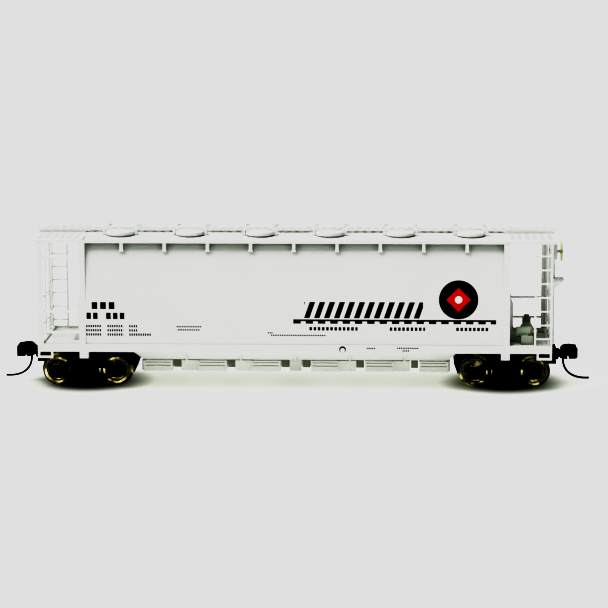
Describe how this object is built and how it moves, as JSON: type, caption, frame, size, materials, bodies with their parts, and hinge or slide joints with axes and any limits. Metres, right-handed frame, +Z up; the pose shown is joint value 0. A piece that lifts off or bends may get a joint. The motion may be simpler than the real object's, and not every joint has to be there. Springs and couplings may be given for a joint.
{
  "type": "model hopper car",
  "caption": "N scale round-sided covered hopper car with hatches, outlet gates, end ladders, two swivelling trucks and knuckle couplers.",
  "frame": {"origin": "car centre line at mid length, level with the rail top under the wheel treads", "axes": "+X along the car to the brake end, +Y to its left side, +Z up"},
  "size_m": [0.1116, 0.02, 0.0299],
  "materials": {
    "body_white": "painted satin",
    "fitting_white": "painted satin",
    "walk_grey": "painted satin",
    "truck_black": "matte",
    "coupler_black": "matte",
    "wire_black": "blackened",
    "spring_bronze": "drawn wire",
    "wheel_bronze": "blackened, worn bright on the tread",
    "axle_steel": "turned",
    "ballast_steel": "blackened"
  },
  "bodies": {
    "car_body": {"air_reservoir": "fitting_white", "body_shell": "body_white", "brake_cylinder": "fitting_white", "brake_housing": "fitting_white", "brake_pipes": "fitting_white", "brake_rod": "fitting_white", "brake_step": "walk_grey", "brake_wheel": "fitting_white", "centre_pin_a": "truck_black", "centre_pin_b": "truck_black", "centre_sill": "ballast_steel", "control_valve": "fitting_white", "end_frame_a": "fitting_white", "end_frame_b": "fitting_white", "end_ladder_a": "fitting_white", "end_ladder_b": "fitting_white", "end_walk_a": "walk_grey", "end_walk_b": "walk_grey", "grab_irons_a": "fitting_white", "grab_irons_b": "fitting_white", "hatch_covers": "body_white", "hatch_lugs": "body_white", "hopper_trough": "body_white", "outlet_gate_1": "body_white", "outlet_gate_2": "body_white", "outlet_gate_3": "body_white", "outlet_gate_4": "body_white", "outlet_gate_5": "body_white", "outlet_gate_6": "body_white", "roof": "body_white", "running_board": "walk_grey", "side_ladder_a": "fitting_white", "side_ladder_b": "fitting_white", "steel_weight": "ballast_steel", "stirrup_steps": "fitting_white", "underframe": "body_white"},
    "truck_a": {"truck_frame_a": "truck_black", "tray_lid_a": "truck_black"},
    "wheelset_outer_a": {"axle_outer_a": "axle_steel", "wheels_outer_a": "wheel_bronze"},
    "wheelset_inner_a": {"axle_inner_a": "axle_steel", "wheels_inner_a": "wheel_bronze"},
    "coupler_a": {"coupler_jaw_a": "coupler_black", "trip_pin_a": "wire_black", "coupler_spring_a": "spring_bronze"},
    "knuckle_a": {"coupler_knuckle_a": "coupler_black"},
    "truck_b": {"truck_frame_b": "truck_black", "tray_lid_b": "truck_black"},
    "wheelset_outer_b": {"axle_outer_b": "axle_steel", "wheels_outer_b": "wheel_bronze"},
    "wheelset_inner_b": {"axle_inner_b": "axle_steel", "wheels_inner_b": "wheel_bronze"},
    "coupler_b": {"coupler_jaw_b": "coupler_black", "trip_pin_b": "wire_black", "coupler_spring_b": "spring_bronze"},
    "knuckle_b": {"coupler_knuckle_b": "coupler_black"}
  },
  "joints": [
    {"name": "truck_a_swivel", "type": "hinge", "parent": "car_body", "child": "truck_a", "pos_m": [-0.0395, 0, 0.0064], "axis": [0, 0, 1], "range_deg": [-10, 10]},
    {"name": "wheelset_outer_a_roll", "type": "hinge", "parent": "truck_a", "child": "wheelset_outer_a", "pos_m": [-0.04505, 0, 0.00262], "axis": [0, 1, 0], "continuous": true},
    {"name": "wheelset_inner_a_roll", "type": "hinge", "parent": "truck_a", "child": "wheelset_inner_a", "pos_m": [-0.03395, 0, 0.00262], "axis": [0, 1, 0], "continuous": true},
    {"name": "coupler_a_swing", "type": "hinge", "parent": "truck_a", "child": "coupler_a", "pos_m": [-0.0459, 0, 0.0052], "axis": [0, 0, 1], "range_deg": [-7, 7]},
    {"name": "knuckle_a_open", "type": "hinge", "parent": "coupler_a", "child": "knuckle_a", "pos_m": [-0.0459, 0, 0.0052], "axis": [0, 0, -1], "range_deg": [0, 8]},
    {"name": "truck_b_swivel", "type": "hinge", "parent": "car_body", "child": "truck_b", "pos_m": [0.0395, 0, 0.0064], "axis": [0, 0, 1], "range_deg": [-10, 10]},
    {"name": "wheelset_outer_b_roll", "type": "hinge", "parent": "truck_b", "child": "wheelset_outer_b", "pos_m": [0.04505, 0, 0.00262], "axis": [0, 1, 0], "continuous": true},
    {"name": "wheelset_inner_b_roll", "type": "hinge", "parent": "truck_b", "child": "wheelset_inner_b", "pos_m": [0.03395, 0, 0.00262], "axis": [0, 1, 0], "continuous": true},
    {"name": "coupler_b_swing", "type": "hinge", "parent": "truck_b", "child": "coupler_b", "pos_m": [0.0459, 0, 0.0052], "axis": [0, 0, 1], "range_deg": [-7, 7]},
    {"name": "knuckle_b_open", "type": "hinge", "parent": "coupler_b", "child": "knuckle_b", "pos_m": [0.0459, 0, 0.0052], "axis": [0, 0, -1], "range_deg": [0, 8]}
  ]
}
